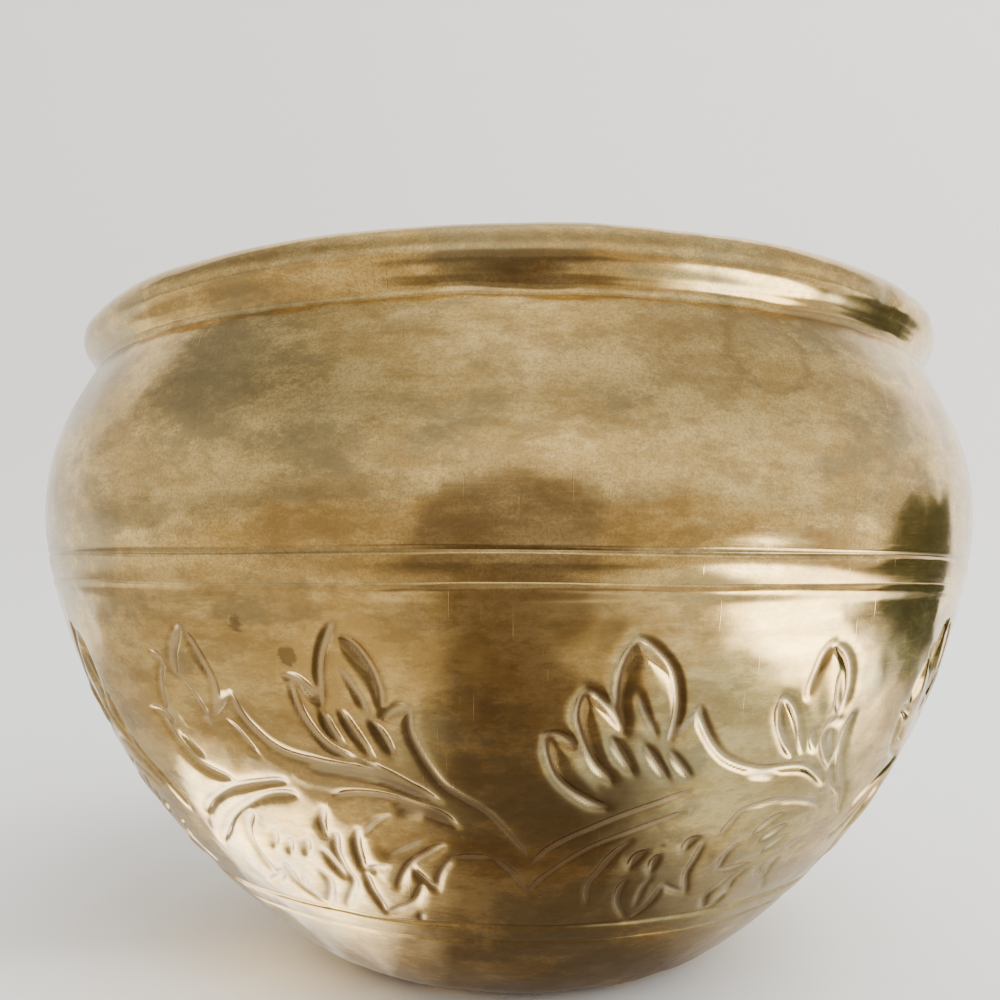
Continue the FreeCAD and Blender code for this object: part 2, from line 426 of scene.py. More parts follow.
def dents(azimuths, along, radius, places):
    """Round dents at (azimuth, length along the section, size, depth)."""
    total = np.zeros((len(along), len(azimuths)))
    for azimuth, centre, size, depth in places:
        turn = (azimuths - azimuth + 180.0) % 360.0 - 180.0
        x = np.radians(turn)[None, :] * radius
        y = (along - centre)[:, None]
        total -= depth * np.exp(-(x ** 2 + y ** 2) / size ** 2)
    return total


RIM_DROP = 3.0               # how far the left of the rim hangs below the right
FOOT_LEAN = 3.0              # how far the base sits to the right of the belt
BELT_HEIGHT = 110.0          # the lean ends here, and the wander is greatest
BELT_SPREAD = 14.0
DROP_HEIGHTS = (125.0, 60.0)     # where the drop starts, and the height it grows over
SHELL_RADIUS = 132.0         # about the radius of the rim and of the shoulder


def settle(points):
    """The rim drops to the left, the foot sits to the right and the belt wanders."""
    x, z = points[..., 0], points[..., 2]
    drop_start, drop_rise = DROP_HEIGHTS
    drop = np.clip((z - drop_start) / drop_rise, 0.0, 1.0) ** 1.5
    moved = points.copy()
    moved[..., 2] -= drop * RIM_DROP * np.clip(0.15 - x / SHELL_RADIUS, 0.0, 1.0) ** 1.3
    moved[..., 0] += FOOT_LEAN * np.clip((BELT_HEIGHT - z) / BELT_HEIGHT, 0.0, 1.0)
    round_pot = np.arctan2(x, -points[..., 1])
    wander = 0.35 * np.sin(3.0 * round_pot + 0.6) + 0.25 * np.sin(8.0 * round_pot + 2.0)
    moved[..., 2] += wander * np.exp(-((z - BELT_HEIGHT) / BELT_SPREAD) ** 2)
    return moved


# ---- meshes made of rings --------------------------------


def ring_points(section, azimuths, along, offset):
    """Rings of points; offset is outward from the sheet's outer face, in mm."""
    radius, height, heading = section.at(along)
    out_radius, out_height = np.sin(heading), -np.cos(heading)
    r = radius[:, None] + out_radius[:, None] * offset
    z = height[:, None] + out_height[:, None] * offset
    angle = np.radians(azimuths)[None, :]
    points = np.stack([r * np.sin(angle), -r * np.cos(angle), z + 0.0 * angle], axis=-1)
    return points


def rounded_edge(section, azimuths, along, way, outer, inner, roundness=0.5):
    """Rings round the cut edge of the sheet, from its outer to its inner face."""
    rings = []
    _, _, heading = section.at(np.array([along]))
    ahead = np.array([math.cos(heading[0]), math.sin(heading[0])]) * way
    angle = np.radians(azimuths)
    for turn in np.radians([-55.0, -20.0, 20.0, 55.0]):
        share = 0.5 + 0.5 * math.sin(turn)
        offset = outer * (1.0 - share) + inner * share
        ring = ring_points(section, azimuths, np.array([along]), offset[None, :])[0]
        reach = roundness * SHEET * math.cos(turn)
        ring[:, 0] += reach * ahead[0] * np.sin(angle)
        ring[:, 1] -= reach * ahead[0] * np.cos(angle)
        ring[:, 2] += reach * ahead[1]
        rings.append(ring)
    return rings


def bridge(first, first_count, second, second_count):
    """Faces between two closed rings, of equal counts, or two to one, or a point."""
    faces = []
    if first_count == second_count:
        for j in range(first_count):
            k = (j + 1) % first_count
            faces.append((first + j, first + k, second + k, second + j))
    elif first_count == 1:
        for j in range(second_count):
            faces.append((first, second + (j + 1) % second_count, second + j))
    elif second_count == 1:
        for j in range(first_count):
            faces.append((first + j, first + (j + 1) % first_count, second))
    elif first_count == 2 * second_count:
        for j in range(second_count):
            a, b, c = first + 2 * j, first + 2 * j + 1, first + (2 * j + 2) % first_count
            d, e = second + j, second + (j + 1) % second_count
            faces += [(a, b, d), (b, e, d), (b, c, e)]
    return faces


def mesh_object(name, points, faces):
    mesh = bpy.data.meshes.new(name)
    mesh.from_pydata(points, [], faces)
    mesh.shade_smooth()
    item = bpy.data.objects.new(name, mesh)
    bpy.context.scene.collection.objects.link(item)
    return item


def ring_mesh(name, rings, marks, closed):
    """A piece made of a row of rings; marks are per-ring values kept as attributes."""
    counts = [len(ring) for ring in rings]
    firsts = np.concatenate([[0], np.cumsum(counts)[:-1]]).astype(int)
    faces = []
    last = len(rings) if closed else len(rings) - 1
    for i in range(last):
        k = (i + 1) % len(rings)
        faces += bridge(int(firsts[i]), counts[i], int(firsts[k]), counts[k])
    points = settle(np.vstack(rings)) * MM
    piece = mesh_object(name, points.tolist(), faces)
    for mark, values in marks.items():
        layer = piece.data.attributes.new(mark, "FLOAT", "POINT")
        layer.data.foreach_set("value", np.concatenate(values).astype(np.float32))
    return piece


def spaced(*stops):
    """Lengths along a section: each stop is (from, to, greatest step)."""
    rows = []
    for start, end, step in stops:
        count = max(1, math.ceil((end - start) / step))
        rows.append(np.linspace(start, end, count, endpoint=False))
    rows.append(np.array([stops[-1][1]]))
    return np.concatenate(rows)


# ---- lower bowl ------------------------------------------
COLUMNS = 1440
WALL_LENGTH = length_of(BOWL_WALL)
BAND_TOP = WALL_LENGTH - length_of(SIDE)
BAND_LENGTH = 8.76           # the foot band with its two grooves
BAND_GROOVES = (0.86, 7.89)  # the grooves' middles, down from the top of the band
HAMMER_MARKS = 260


def bowl_rows(section):
    """Rows of the outer face, closer at the foot band, the frieze and the lip."""
    foot = BAND_TOP - 12.0
    lip = WALL_LENGTH - 3.5
    return spaced((12.0, 44.0, 8.0), (44.0, foot, 1.4), (foot, BAND_TOP, 0.3),
                  (BAND_TOP, lip, 0.55), (lip, section.length, 0.35))


def bowl_inside_rows(section):
    return spaced((10.0, 45.0, 7.0), (45.0, 75.0, 2.0), (75.0, WALL_LENGTH, 2.0),
                  (WALL_LENGTH, section.length, 0.6))


def bowl_unevenness(azimuths, rows):
    """Ripples that fade towards the lip, and hammer marks in a ring under the belt."""
    uneven = ripples(azimuths, rows, 7, 26, (22.0, 60.0), 0.35)
    uneven += ripples(azimuths, rows, 8, 30, (9.0, 20.0), 0.10)
    uneven += ripples(azimuths, rows, 9, 40, (6.0, 10.0), 0.05)
    uneven *= np.clip((WALL_LENGTH - rows + 1.0) / 4.0, 0.0, 1.0)[:, None]
    hammer = np.random.default_rng(10)
    blows = [
        (hammer.uniform(0.0, 360.0), WALL_LENGTH - hammer.uniform(7.0, 30.0),
         hammer.uniform(2.2, 3.6), hammer.uniform(0.03, 0.09))
        for _ in range(HAMMER_MARKS)
    ]
    return uneven + dents(azimuths, rows, MEAN_RADIUS, blows)


def chased_bowl():
    """The lower bowl: flat base, foot band, leaf frieze and the stepped lip."""
    section = Section((0.0, 0.0), 0.0, BOWL_WALL + BOWL_LIP)
    azimuths = np.arange(COLUMNS) * 360.0 / COLUMNS
    rows = bowl_rows(section)
    below = WALL_LENGTH - rows
    radii, _, _ = section.at(rows)
    frieze = chased_frieze(azimuths, below, radii)
    uneven = bowl_unevenness(azimuths, rows)
    band = (BAND_TOP - rows) / BAND_LENGTH
    crown = 0.3 * np.clip(1.0 - (2.0 * band - 1.0) ** 2, 0.0, 1.0)[:, None]
    bead = 0.3 * np.exp(-((below - 0.9) / 1.3) ** 2)[:, None]
    outer = frieze.relief() + uneven + crown + bead
    for middle in BAND_GROOVES:
        outer -= 0.4 * np.exp(-((BAND_TOP - rows - middle) / 0.8) ** 2)[:, None]
    flat_base = np.clip((rows - 50.0) / 12.0, 0.0, 1.0)[:, None]
    outer *= flat_base

    inside_azimuths = azimuths[::2]
    inside_rows = bowl_inside_rows(section)
    shallow = np.array([np.interp(inside_rows, rows, outer[:, j]) for j in range(0, COLUMNS, 2)]).T
    inner = 0.75 * shallow - SHEET

    rings = [np.zeros((1, 3))] + list(ring_points(section, azimuths, rows, outer))
    cuts = [np.zeros(1)] + list(frieze.cut)
    lines = [np.zeros(1)] + list(frieze.line)
    edge = rounded_edge(section, inside_azimuths, section.length, 1.0, outer[-1, ::2], inner[-1])
    rings += edge + list(ring_points(section, inside_azimuths, inside_rows, inner)[::-1])
    rings += [np.array([[0.0, 0.0, SHEET]])]
    inside_counts = [COLUMNS // 2] * (len(edge) + len(inside_rows)) + [1]
    flat = [np.zeros(count) for count in inside_counts]
    interior = [np.zeros(len(ring)) for ring in cuts] + [np.ones(count) for count in inside_counts]
    marks = {"cut": cuts + flat, "line": lines + flat, "inside": interior}
    return ring_mesh("chased_bowl", rings, marks, closed=False)


# ---- upper shell -----------------------------------------
ROLL_TURN = 45.3
# The roll comes down to the shoulder and is burnished out on to it in a fillet.
ROLL = (
    arc(2.0, -NECK_HEADING) + straight(2.05) + arc(5.4, -90.0) + arc(6.2, -ROLL_TURN)
    + arc(4.5, ROLL_TURN + 28.3)
)
BELT_LENGTH = length_of(BELT)
CREASE = length_of(BELT + BELLY)             # where the belly meets the neck
MOUTH = length_of(BELT + BELLY + NECK)       # where the neck meets the roll
FILLED_PLACE = 0.87          # the partly filled groove, back from the belt's end
LANDING = CREASE - 2.1       # where the edge of the roll lies on the shoulder
LANDING_RISE = 0.14
ROLL_RADIUS = 128.0

# Dents: azimuth, length along the section, size and depth.
BELLY_DENTS = [
    (-62.0, 40.0, 7.0, 0.25), (-70.0, 22.0, 8.0, 0.3), (24.0, 36.0, 6.0, 0.15),
    (78.0, 30.0, 9.0, 0.25), (200.0, 34.0, 8.0, 0.3), (140.0, 20.0, 7.0, 0.2),
]
RIM_DENTS = [
    (34.0, MOUTH + 17.0, 4.0, 0.3), (44.0, MOUTH + 15.5, 3.5, 0.3),
    (52.0, MOUTH + 13.0, 6.0, 0.25), (63.0, MOUTH + 14.0, 5.0, 0.5),
    (70.0, MOUTH + 11.0, 4.0, 0.4),
    (-75.0, MOUTH + 12.0, 6.0, 0.4), (118.0, MOUTH + 13.0, 6.0, 0.4),
]


def shell_unevenness(azimuths, rows):
    uneven = ripples(azimuths, rows, 11, 26, (24.0, 60.0), 0.42)
    uneven += ripples(azimuths, rows, 12, 30, (10.0, 20.0), 0.10)
    uneven += dents(azimuths, rows, SHELL_RADIUS, BELLY_DENTS)
    uneven += ripples(azimuths, rows, 15, 40, (6.0, 12.0), 0.04)
    return uneven


def rim_unevenness(azimuths, rows):
    """Sunk places of the roll, which shows the sheet's other face."""
    swell = ripples(azimuths, rows, 13, 18, (25.0, 70.0), 0.5)
    swell += ripples(azimuths, rows, 14, 30, (9.0, 18.0), 0.12)
    swell += dents(azimuths, rows, ROLL_RADIUS, RIM_DENTS)
    return swell


def rolled_shell():
    """The upper shell: belt, belly, shoulder, neck and the rim rolled outwards."""
    wall = Section((0.0, 0.0), 0.0, BOWL_WALL + straight(EDGE_GAP))
    section = Section(wall.end, wall.end_heading, BELT + BELLY + NECK + ROLL)
    count = COLUMNS // 2
    azimuths = np.arange(count) * 360.0 / count
    rows = spaced((0.0, 1.2, 0.3), (1.2, 3.4, 0.55), (3.4, BELT_LENGTH + 2.4, 0.22),
                  (BELT_LENGTH + 2.4, CREASE - 3.0, 1.1), (CREASE - 3.0, CREASE + 3.0, 0.6),
                  (CREASE + 3.0, MOUTH, 1.6), (MOUTH, MOUTH + 4.2, 0.35),
                  (MOUTH + 4.2, section.length, 0.55))
    uneven = shell_unevenness(azimuths, rows)
    body = uneven * np.clip((rows - BELT_LENGTH) / 6.0, 0.1, 1.0)[:, None]
    band = np.clip(1.0 - (2.0 * rows / (BELT_LENGTH - 1.4) - 1.0) ** 2, 0.0, 1.0)[:, None]
    around = np.radians(azimuths)[None, :]
    worn = 0.5 + 0.3 * np.sin(5.0 * around + 1.0) + 0.2 * np.sin(13.0 * around)
    filled = np.exp(-((rows - BELT_LENGTH + FILLED_PLACE) / 1.1) ** 2)[:, None]
    outer = body + band * (0.2 + 0.2 * worn) + 0.25 * filled * worn
    on_rim = np.clip((rows - MOUTH) / 4.0, 0.0, 1.0)[:, None]
    before_end = np.clip((section.length - rows) / 3.0, 0.0, 1.0)[:, None]
    outer = outer * (1.0 - on_rim) - rim_unevenness(azimuths, rows) * on_rim * before_end
    landing = np.searchsorted(rows, LANDING)
    outer += (1.0 - before_end) * (LANDING_RISE - uneven[landing])
    thin_start = np.clip(rows / 3.0, 0.35, 1.0)
    thin_end = np.clip((section.length - rows) / 3.5, 0.08, 1.0)
    inner = outer - SHEET * (thin_start * thin_end)[:, None]

    start = rounded_edge(section, azimuths, 0.0, -1.0, outer[0], inner[0], 0.35)[::-1]
    end = rounded_edge(section, azimuths, section.length, 1.0, outer[-1], inner[-1], 0.35)
    rings = list(ring_points(section, azimuths, rows, outer)) + end
    rings += list(ring_points(section, azimuths, rows, inner)[::-1]) + start
    in_groove = np.exp(-((rows - BELT_LENGTH + FILLED_PLACE) / 0.8) ** 2)
    shade = [np.full(count, value) for value in in_groove]
    flat = [np.zeros(count)] * 4
    plain = [np.zeros(count)] * len(rows)
    below_rim = np.clip((MOUTH + 3.0 - rows) / 6.0, 0.0, 1.0)
    interior = [np.full(count, value) for value in below_rim[::-1]]
    marks = {
        "cut": shade + flat + plain + flat,
        "line": plain + flat + plain + flat,
        "inside": plain + flat + interior + flat,
    }
    return ring_mesh("rolled_shell", rings, marks, closed=True)


# ---- materials -------------------------------------------


class Finish:
    """A material made of nodes that read object coordinates in metres."""

    def __init__(self, name, metallic, roughness):
        self.material = bpy.data.materials.new(name)
        self.material.use_nodes = True
        self.tree = self.material.node_tree
        self.shader = self.tree.nodes["Principled BSDF"]
        self.shader.inputs["Metallic"].default_value = metallic
        self.shader.inputs["Roughness"].default_value = roughness
        self.place = self.tree.nodes.new("ShaderNodeTexCoord").outputs["Object"]
        self.bumps = None

    def put(self, socket, value):
        if isinstance(value, bpy.types.NodeSocket):
            self.tree.links.new(value, socket)
        else:
            socket.default_value = value

    def node(self, kind, inputs, **settings):
        """A new node with its settings, and with values or links at its inputs."""
        node = self.tree.nodes.new("ShaderNode" + kind)
        for name, value in settings.items():
            setattr(node, name, value)
        for name, value in inputs.items():
            self.put(node.inputs[name], value)
        return node

    def attribute(self, name):
        return self.node("Attribute", {}, attribute_name=name).outputs["Fac"]

    def mapped(self, scale, turn=(0.0, 0.0, 0.0)):
        rotation = [math.radians(angle) for angle in turn]
        node = self.node("Mapping", {"Vector": self.place, "Scale": scale, "Rotation": rotation})
        return node.outputs["Vector"]

    def noise(self, scale, detail=4.0, roughness=0.55, distortion=0.0, stretch=(1.0, 1.0, 1.0),
              turn=(0.0, 0.0, 0.0)):
        node = self.node("TexNoise", {
            "Vector": self.mapped(stretch, turn), "Scale": scale, "Detail": detail,
            "Roughness": roughness, "Distortion": distortion,
        })
        return node.outputs["Fac"]

    def spots(self, scale):
        """Distance to the nearest of many scattered points."""
        return self.node("TexVoronoi", {"Vector": self.place, "Scale": scale}).outputs["Distance"]

    def away_from(self, place):
        """Distance in metres from a place on the piece."""
        node = self.node("VectorMath", {0: self.place, 1: place}, operation="DISTANCE")
        return node.outputs["Value"]

    def height(self):
        return self.node("SeparateXYZ", {"Vector": self.place}).outputs["Z"]

    def between(self, value, low, high, to_low=0.0, to_high=1.0):
        """The value spread smoothly from low..high to to_low..to_high."""
        node = self.node("MapRange", {
            "Value": value, "From Min": low, "From Max": high, "To Min": to_low, "To Max": to_high,
        }, interpolation_type="SMOOTHSTEP")
        return node.outputs["Result"]

    def math(self, operation, first, second):
        return self.node("Math", {0: first, 1: second}, operation=operation).outputs["Value"]

    def blend(self, share, first, second):
        """One colour laid over another; a Mix node has its colours at 6, 7 and out at 2."""
        return self.node("Mix", {0: share, 6: first, 7: second}, data_type="RGBA").outputs[2]

    def bump(self, value, depth):
        """Small relief of the given depth in metres, added to what is there."""
        node = self.node("Bump", {"Strength": 1.0, "Distance": depth, "Height": value})
        if self.bumps is not None:
            self.put(node.inputs["Normal"], self.bumps)
        self.bumps = node.outputs["Normal"]

    def done(self, colour, roughness):
        self.put(self.shader.inputs["Base Color"], colour)
        self.put(self.shader.inputs["Roughness"], roughness)
        if self.bumps is not None:
            self.put(self.shader.inputs["Normal"], self.bumps)
        return self.material


GOLD = (0.70, 0.46, 0.15, 1.0)
PALE_GOLD = (1.0, 0.72, 0.28, 1.0)
# a paler gold for the painted highlight along the chased lines
PAINTED_LINE_HIGHLIGHT = (1.0, 0.80, 0.48, 1.0)
OLIVE = (0.33, 0.28, 0.15, 1.0)
BROWN = (0.38, 0.24, 0.09, 1.0)
SOOT = (0.12, 0.07, 0.04, 1.0)
DULL_BROWN = (0.30, 0.18, 0.08, 1.0)
STAIN = (0.44, 0.36, 0.22, 1.0)

# Patches of tarnish: place in metres, radius, share and colour.
STAINS = [
    ((-0.062, -0.120, 0.156), 0.022, 0.55, OLIVE),
    ((-0.040, -0.131, 0.144), 0.012, 0.35, OLIVE),
    ((0.072, -0.108, 0.168), 0.010, 0.4, BROWN),
]
# The middle of a dried ring, and two dark spots with their radii.
DRIED_RING = (0.055, -0.121, 0.161)
DARK_SPOTS = [((-0.0565, -0.1215, 0.103), 0.0022), ((-0.045, -0.1245, 0.096), 0.0017)]


def tarnished(brass, clouds, brown_clouds, bright_clouds, speckle):
    """Gold in two tones under clouds of tarnish, brown grain and level streaks."""
    colour = brass.blend(brass.between(bright_clouds, 0.42, 0.60), GOLD, PALE_GOLD)
    colour = brass.blend(brass.between(clouds, 0.49, 0.56, 0.0, 0.6), colour, OLIVE)
    colour = brass.blend(brass.between(clouds, 0.595, 0.605, 0.0, 0.3), colour, OLIVE)
    colour = brass.blend(brass.between(brown_clouds, 0.49, 0.56, 0.0, 0.45), colour, BROWN)
    colour = brass.blend(brass.between(brown_clouds, 0.60, 0.61, 0.0, 0.4), colour, BROWN)
    colour = brass.blend(speckle, colour, BROWN)
    wiped = brass.noise(1.0, 5.0, 0.6, 0.0, (9.0, 9.0, 150.0))
    return brass.blend(brass.between(wiped, 0.52, 0.66, 0.0, 0.3), colour, BROWN)


def marked(brass, colour, brown_clouds, edge):
    """A colour with the patches, the dried ring, specks of soot and the dark spots."""
    for place, radius, share, tone in STAINS:
        reach = brass.math("ADD", brass.away_from(place), edge)
        patch = brass.between(reach, 0.45 * radius, 1.1 * radius, share, 0.0)
        colour = brass.blend(patch, colour, tone)
    ring = brass.math("ADD", brass.away_from(DRIED_RING), brass.math("MULTIPLY", edge, 0.25))
    ring = brass.math("MULTIPLY", brass.between(ring, 0.0085, 0.0100),
                      brass.between(ring, 0.0102, 0.0125, 0.5, 0.0))
    colour = brass.blend(ring, colour, BROWN)
    ragged = brass.math("ADD", brass.spots(24.0), brass.math("MULTIPLY", brown_clouds, 0.35))
    colour = brass.blend(brass.between(ragged, 0.17, 0.21, 0.75, 0.0), colour, SOOT)
    for place, radius in DARK_SPOTS:
        reach = brass.math("ADD", brass.away_from(place), brass.math("MULTIPLY", edge, 0.12))
        colour = brass.blend(brass.between(reach, 0.6 * radius, radius, 0.6, 0.0), colour, SOOT)
    return colour


def aged_brass():
    """Satin brass: tarnish in clouds, golden grain, dark spots, hairlines and a painted highlight
    along the chased lines.
    """
    brass = Finish("aged_brass", 1.0, 0.3)
    clouds = brass.noise(13.0, 15.0, 0.70, 0.1, (1.0, 1.0, 1.8))
    brown_clouds = brass.noise(26.0, 15.0, 0.76, 0.15, (1.0, 1.0, 2.4), (0.0, 0.0, 60.0))
    bright_clouds = brass.noise(34.0, 15.0, 0.82, 0.1, (1.0, 1.0, 2.2), (0.0, 0.0, 20.0))
    grain = brass.noise(1800.0, 2.0, 0.7)
    above_belt = brass.between(brass.height(), 0.105, 0.118)
    speckle = brass.math("MULTIPLY", brass.between(grain, 0.44, 0.62),
                         brass.between(above_belt, 0.0, 1.0, 0.1, 0.4))
    colour = tarnished(brass, clouds, brown_clouds, bright_clouds, speckle)
    edge = brass.between(bright_clouds, 0.3, 0.7, -0.012, 0.012)
    colour = marked(brass, colour, brown_clouds, edge)
    cut = brass.attribute("cut")
    colour = brass.blend(brass.between(cut, 0.10, 0.40, 0.0, 0.3), colour, SOOT)
    line = brass.attribute("line")
    # The chased lines are painted paler gold: a painted highlight along them.
    colour = brass.blend(brass.between(line, 0.15, 0.60, 0.0, 0.35), colour, PAINTED_LINE_HIGHLIGHT)

    inside = brass.attribute("inside")
    dull = brass.blend(brass.between(clouds, 0.42, 0.62), DULL_BROWN, STAIN)
    colour = brass.blend(inside, colour, dull)

    hairlines = brass.noise(1.0, 2.0, 0.5, 0.0, (60.0, 60.0, 2600.0))
    slanted = brass.noise(1.0, 2.0, 0.5, 0.0, (1500.0, 40.0, 60.0), (0.0, 35.0, 20.0))
    roughness = brass.between(clouds, 0.40, 0.70, 0.07, 0.17)
    for source, low, high, added in (
        (above_belt, 0.0, 1.0, 0.04), (line, 0.15, 0.60, 0.20), (grain, 0.45, 0.75, 0.08),
        (hairlines, 0.55, 0.75, 0.06), (inside, 0.0, 1.0, 0.2),
    ):
        roughness = brass.math("ADD", roughness, brass.between(source, low, high, 0.0, added))
    brass.bump(brass.noise(110.0, 2.0, 0.4, 0.2), 0.00005)
    brass.bump(grain, 0.000003)
    brass.bump(brass.between(slanted, 0.68, 0.80), 0.00002)
    return brass.done(colour, roughness)


def braze():
    """Braze: pale, lumpy where it froze, browned at the surface."""
    metal = Finish("braze_fillet", 1.0, 0.4)
    lumps = metal.noise(260.0, 5.0, 0.6, 0.4)
    colour = metal.blend(metal.between(lumps, 0.4, 0.65), (0.62, 0.48, 0.27, 1.0), BROWN)
    metal.bump(lumps, 0.0002)
    return metal.done(colour, metal.between(lumps, 0.35, 0.7, 0.35, 0.6))


def black_iron():
    """Drawn iron wire with a scale skin and patches of rust."""
    iron = Finish("black_iron", 0.85, 0.55)
    rust = iron.noise(140.0, 7.0, 0.65, 0.5)
    colour = iron.blend(iron.between(rust, 0.5, 0.65), (0.09, 0.085, 0.08, 1.0),
                        (0.24, 0.10, 0.04, 1.0))
    iron.bump(rust, 0.0001)
    return iron.done(colour, iron.between(rust, 0.4, 0.7, 0.45, 0.8))


# ---- stage, lights and camera ----------------------------


def stage_mesh(name, points, faces, material):
    item = mesh_object(name, points, faces)
    item.data.materials.append(material)
    return item


def backdrop():
    """A plain pale floor that curves up into a wall behind the pot; the wall part is painted darker
    and warmer than the floor, a painted shade.
    """
    paper = Finish("pale_paper", 0.0, 0.75)
    cloudy = paper.noise(3.0, 4.0, 0.5)
    # painted shade: the one sheet is darker and warmer where it rises into the wall, and paler on
    # the floor
    wall = paper.blend(cloudy, (0.83, 0.815, 0.79, 1.0), (0.87, 0.86, 0.84, 1.0))
    floor = paper.blend(cloudy, (0.91, 0.925, 0.93, 1.0), (0.94, 0.95, 0.955, 1.0))
    colour = paper.blend(paper.between(paper.height(), 0.0, 0.25), floor, wall)
    bend = 0.45
    wall_top = 2.0
    back = 0.75
    half_width = 2.2
    section = [(-2.5, 0.0), (0.2, 0.0)]
    for turn in np.radians(np.linspace(0.0, 90.0, 25)):
        section.append((back - bend + bend * math.sin(turn), bend - bend * math.cos(turn)))
    section.append((back, wall_top))
    points = [(side * half_width, y, z) for y, z in section for side in (-1.0, 1.0)]
    faces = [(2 * i, 2 * i + 1, 2 * i + 3, 2 * i + 2) for i in range(len(section) - 1)]
    stage_mesh("backdrop", points, faces, paper.done(colour, 0.75))


def only_in_reflections(item):
    item.visible_camera = False
    item.visible_diffuse = False
    item.visible_shadow = False


def card(name, points, colour):
    """A glowing studio card that only reflections see."""
    finish = Finish(name, 0.0, 0.9)
    finish.shader.inputs["Base Color"].default_value = (0.0, 0.0, 0.0, 1.0)
    finish.shader.inputs["Emission Color"].default_value = colour
    finish.shader.inputs["Emission Strength"].default_value = 1.0
    only_in_reflections(stage_mesh(name, points, [tuple(range(len(points)))], finish.material))


# Soft patches of light and shade on the floor in front of the pot, as the metal
# mirrors them: centre, half sizes, turn in degrees, colour. Later ones cover earlier.
FLOOR_TONES = [
    ((0.00, -1.20), (2.10, 1.35), 0.0, (0.66, 0.57, 0.44)),
    ((-0.30, -0.02), (0.26, 0.22), 0.0, (0.66, 0.60, 0.50)),
    ((0.50, 0.08), (0.13, 0.19), 0.0, (0.13, 0.15, 0.10)),
    ((0.36, 0.07), (0.06, 0.10), 0.0, (0.34, 0.38, 0.28)),
    ((0.01, -0.41), (0.19, 0.16), 0.0, (0.21, 0.175, 0.15)),
    ((0.01, -0.17), (0.060, 0.17), -6.0, (0.18, 0.14, 0.115)),
    ((0.01, -0.05), (0.042, 0.05), 0.0, (0.17, 0.14, 0.12)),
    ((0.16, -0.13), (0.10, 0.11), 0.0, (0.80, 0.88, 0.95)),
    ((0.18, -0.27), (0.08, 0.07), 0.0, (0.95, 0.93, 0.88)),
    ((0.33, -0.21), (0.115, 0.19), 25.0, (9.0, 9.0, 8.8)),
    ((-0.105, -0.066), (0.066, 0.032), -20.0, (6.5, 6.3, 6.0)),
]


# The floor card's grid: from, to and number of points, along X and along Y.
CARD_ACROSS = (-2.1, 2.1, 281)
CARD_DEEP = (-2.4, 0.4, 187)
CARD_HEIGHT = 0.002


def toned_floor(across, deep):
    """FLOOR_TONES laid over each other on a grid: colour, and how much they cover."""
    colour = np.zeros(across.shape + (3,))
    cover = np.zeros(across.shape)
    for (x, y), (half_x, half_y), turn, tone in FLOOR_TONES:
        angle = math.radians(turn)
        u = (across - x) * math.cos(angle) + (deep - y) * math.sin(angle)
        v = (deep - y) * math.cos(angle) - (across - x) * math.sin(angle)
        share = np.exp(-((u / half_x) ** 2 + (v / half_y) ** 2) ** 3)
        both = np.maximum(share + cover * (1.0 - share), 1e-6)
        weight = (share / both)[..., None]
        colour = colour * (1.0 - weight) + np.array(tone) * weight
        cover = both
    return colour, cover


def toned_glow():
    """A glow of the colour "tone" that is clear where "cover" is zero."""
    material = bpy.data.materials.new("floor_tones")
    material.use_nodes = True
    nodes = material.node_tree.nodes
    links = material.node_tree.links
    nodes.clear()
    tone, cover, glow, clear, mix, out = (
        nodes.new("ShaderNode" + kind) for kind in
        ("Attribute", "Attribute", "Emission", "BsdfTransparent", "MixShader", "OutputMaterial")
    )
    tone.attribute_name = "tone"
    cover.attribute_name = "cover"
    links.new(tone.outputs["Color"], glow.inputs["Color"])
    links.new(cover.outputs["Fac"], mix.inputs[0])
    links.new(clear.outputs["BSDF"], mix.inputs[1])
    links.new(glow.outputs["Emission"], mix.inputs[2])
    links.new(mix.outputs["Shader"], out.inputs["Surface"])
    return material


def floor_tones():
    """A card just over the floor that carries FLOOR_TONES for reflections."""
    across, deep = np.meshgrid(np.linspace(*CARD_ACROSS), np.linspace(*CARD_DEEP))
    colour, cover = toned_floor(across, deep)
    rows, columns = across.shape
    up = np.full(across.shape, CARD_HEIGHT)
    points = np.stack([across, deep, up], axis=-1).reshape(-1, 3)
    faces = [
        (i * columns + j, i * columns + j + 1, (i + 1) * columns + j + 1, (i + 1) * columns + j)
        for i in range(rows - 1) for j in range(columns - 1)
    ]
    item = stage_mesh("floor_tones", points.tolist(), faces, toned_glow())
    alpha = np.ones((len(points), 1))
    tones = item.data.attributes.new("tone", "FLOAT_COLOR", "POINT")
    tones.data.foreach_set("color", np.hstack([colour.reshape(-1, 3), alpha]).ravel())
    covers = item.data.attributes.new("cover", "FLOAT", "POINT")
    covers.data.foreach_set("value", cover.ravel())
    only_in_reflections(item)


def area_light(name, place, aim, size, power, colour):
    light = bpy.data.lights.new(name, "AREA")
    light.shape = "RECTANGLE"
    light.size, light.size_y = size
    light.energy = power
    light.color = colour
    item = bpy.data.objects.new(name, light)
    item.location = place
    item.rotation_euler = (Vector(aim) - Vector(place)).to_track_quat("-Z", "Y").to_euler()
    item.visible_camera = False
    item.visible_glossy = False
    bpy.context.scene.collection.objects.link(item)


# The room's brightness by the upward part of the direction, as the metal mirrors it.
ROOM_TONES = [
    (0.0, 0.94), (0.12, 1.18), (0.30, 1.18), (0.45, 0.88), (0.62, 0.76), (0.85, 0.84), (0.93, 1.02),
    (1.0, 1.4),
]
# How that brightness changes from the left of the room, at 0, to the right, at 1.
SIDE_TONES = [(0.0, 0.74), (0.15, 0.56), (0.30, 0.78), (0.5, 1.08), (0.75, 0.90), (1.0, 0.88)]
MATT_STRENGTH = 1.03         # the same from all sides, for all but reflections


